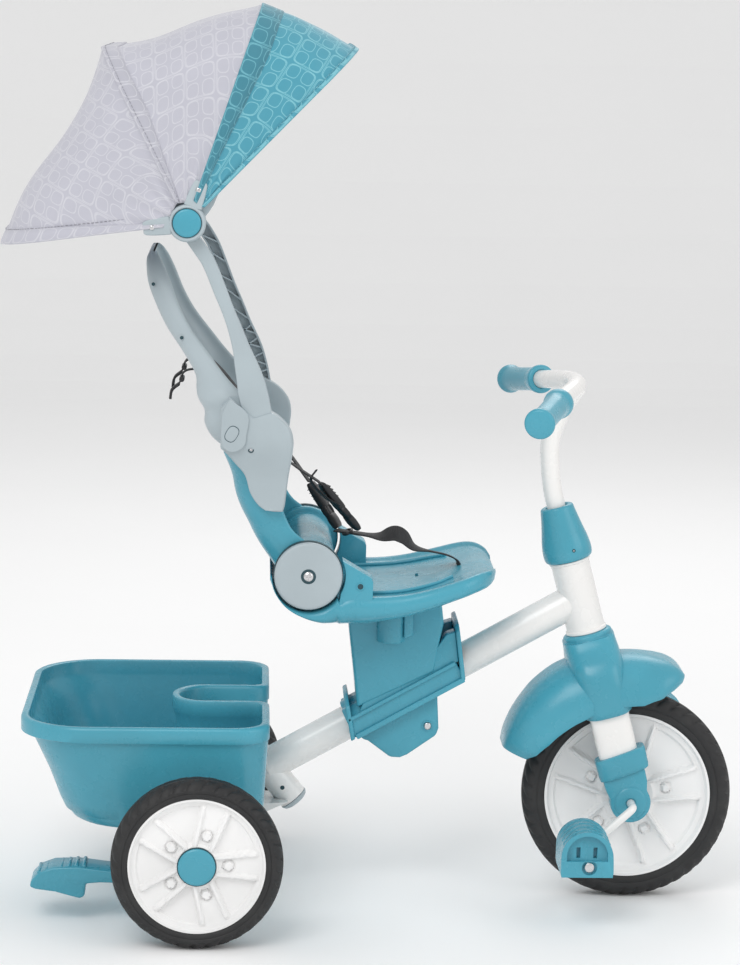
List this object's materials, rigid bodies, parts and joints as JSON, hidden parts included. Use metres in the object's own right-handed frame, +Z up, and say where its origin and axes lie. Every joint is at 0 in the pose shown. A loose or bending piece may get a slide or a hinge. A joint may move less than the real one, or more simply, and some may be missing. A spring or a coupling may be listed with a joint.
{
  "type": "children's tricycle",
  "caption": "Child's tricycle with front-wheel pedals, reclining bucket seat, folding cloth canopy, rear bin with handle slot and foot brake.",
  "frame": {"origin": "on the ground at the middle of the overall length and width", "axes": "+X forward, +Y to the rider's left, +Z up"},
  "size_m": [0.8421, 0.4956, 1.0231],
  "materials": {
    "teal_plastic": "semi-gloss moulded",
    "grey_plastic": "fine satin moulded",
    "white_paint": "glossy powder coat",
    "white_plastic": "semi-gloss moulded",
    "tyre": "matte moulded, grooved shoulders",
    "steel": "zinc plated",
    "canopy_grey": "woven polyester, printed",
    "canopy_teal": "woven polyester, printed",
    "webbing": "woven webbing",
    "black_plastic": "satin"
  },
  "bodies": {
    "frame": {"main_tube": "white_paint", "head_tube": "white_paint", "push_handle_sleeve": "white_paint", "sleeve_end_cap": "grey_plastic", "rear_axle": "steel", "rear_axle_carrier": "white_paint", "basket": "teal_plastic", "brake_pin": "steel", "seat_base": "teal_plastic", "seat_pedestal": "teal_plastic", "seat_saddle": "teal_plastic", "saddle_clamp": "teal_plastic", "clamp_bolt": "steel", "crotch_strap": "webbing"},
    "seat_back": {"seat_back_lower": "teal_plastic", "seat_back_upper": "grey_plastic", "recline_disc_right": "grey_plastic", "recline_disc_left": "grey_plastic", "recline_screw_right": "steel", "recline_screw_left": "steel", "canopy_arm_right": "grey_plastic", "canopy_arm_left": "grey_plastic", "canopy_hinge_right": "grey_plastic", "canopy_hinge_left": "grey_plastic", "hinge_cap_right": "teal_plastic", "hinge_cap_left": "teal_plastic", "canopy_bow_middle": "grey_plastic", "canopy_cloth_middle": "canopy_grey", "shoulder_strap_right": "webbing", "shoulder_strap_left": "webbing", "buckle_right": "black_plastic", "buckle_left": "black_plastic"},
    "canopy_front": {"canopy_bow_front": "grey_plastic", "canopy_cloth_front": "canopy_teal"},
    "canopy_third": {"canopy_bow_third": "grey_plastic", "canopy_cloth_rear": "canopy_grey"},
    "canopy_rear": {"canopy_bow_rear": "grey_plastic"},
    "button_right": {"release_button_right": "grey_plastic"},
    "button_left": {"release_button_left": "grey_plastic"},
    "brake": {"brake_lever": "teal_plastic"},
    "steering": {"fork": "white_paint", "steerer": "steel", "dropout_right": "teal_plastic", "dropout_left": "teal_plastic", "fender": "teal_plastic", "stem_cover": "teal_plastic", "handlebar": "white_paint", "grip_right": "teal_plastic", "grip_left": "teal_plastic"},
    "front_wheel": {"front_rim": "white_plastic", "front_tyre": "tyre", "crank": "steel"},
    "pedal_right": {"pedal_right": "teal_plastic"},
    "pedal_left": {"pedal_left": "teal_plastic"},
    "rear_wheel_right": {"rear_rim_right": "white_plastic", "rear_tyre_right": "tyre", "hub_cap_right": "teal_plastic"},
    "rear_wheel_left": {"rear_rim_left": "white_plastic", "rear_tyre_left": "tyre", "hub_cap_left": "teal_plastic"}
  },
  "joints": [
    {"name": "steering_turn", "type": "hinge", "parent": "frame", "child": "steering", "pos_m": [0.2999, 0, 0.12112], "axis": [-0.2571, 0, 0.9664], "range_deg": [-40, 40]},
    {"name": "front_wheel_spin", "type": "hinge", "parent": "steering", "child": "front_wheel", "pos_m": [0.2999, 0, 0.12112], "axis": [0, 1, 0], "continuous": true},
    {"name": "pedal_right_spin", "type": "hinge", "parent": "front_wheel", "child": "pedal_right", "pos_m": [0.24206, 0, 0.07561], "axis": [0, 1, 0], "continuous": true},
    {"name": "pedal_left_spin", "type": "hinge", "parent": "front_wheel", "child": "pedal_left", "pos_m": [0.35774, 0, 0.16664], "axis": [0, 1, 0], "continuous": true},
    {"name": "rear_wheel_right_spin", "type": "hinge", "parent": "frame", "child": "rear_wheel_right", "pos_m": [-0.1941, 0, 0.09405], "axis": [0, 1, 0], "continuous": true},
    {"name": "rear_wheel_left_spin", "type": "hinge", "parent": "frame", "child": "rear_wheel_left", "pos_m": [-0.1941, 0, 0.09405], "axis": [0, 1, 0], "continuous": true},
    {"name": "seat_recline", "type": "hinge", "parent": "frame", "child": "seat_back", "pos_m": [-0.0754, 0, 0.3967], "axis": [0, 1, 0], "range_deg": [-10, 16], "deforming": ["crotch_strap", "shoulder_strap_right", "shoulder_strap_left"]},
    {"name": "canopy_front_fold", "type": "hinge", "parent": "seat_back", "child": "canopy_front", "pos_m": [-0.2123, 0, 0.7873], "axis": [0, -1, 0], "range_deg": [0, 20], "deforming": ["canopy_cloth_front"]},
    {"name": "canopy_third_fold", "type": "hinge", "parent": "seat_back", "child": "canopy_third", "pos_m": [-0.2123, 0, 0.7873], "axis": [0, 1, 0], "range_deg": [0, 38], "deforming": ["canopy_cloth_middle"]},
    {"name": "canopy_rear_fold", "type": "hinge", "parent": "canopy_third", "child": "canopy_rear", "pos_m": [-0.2123, 0, 0.7873], "axis": [0, 1, 0], "range_deg": [0, 62], "deforming": ["canopy_cloth_rear"]},
    {"name": "button_right_press", "type": "slide", "parent": "seat_back", "child": "button_right", "axis": [0, 1, 0], "range_m": [0, 0.003], "stiffness_N_per_m": 300},
    {"name": "button_left_press", "type": "slide", "parent": "seat_back", "child": "button_left", "axis": [0, -1, 0], "range_m": [0, 0.003], "stiffness_N_per_m": 300},
    {"name": "brake_press", "type": "hinge", "parent": "frame", "child": "brake", "pos_m": [-0.1691, -0.115, 0.07], "axis": [0, -1, 0], "range_deg": [0, 7]}
  ],
  "couplings": [
    {"joint": "canopy_rear_fold", "follows": "canopy_third_fold", "ratio": 1.6}
  ]
}
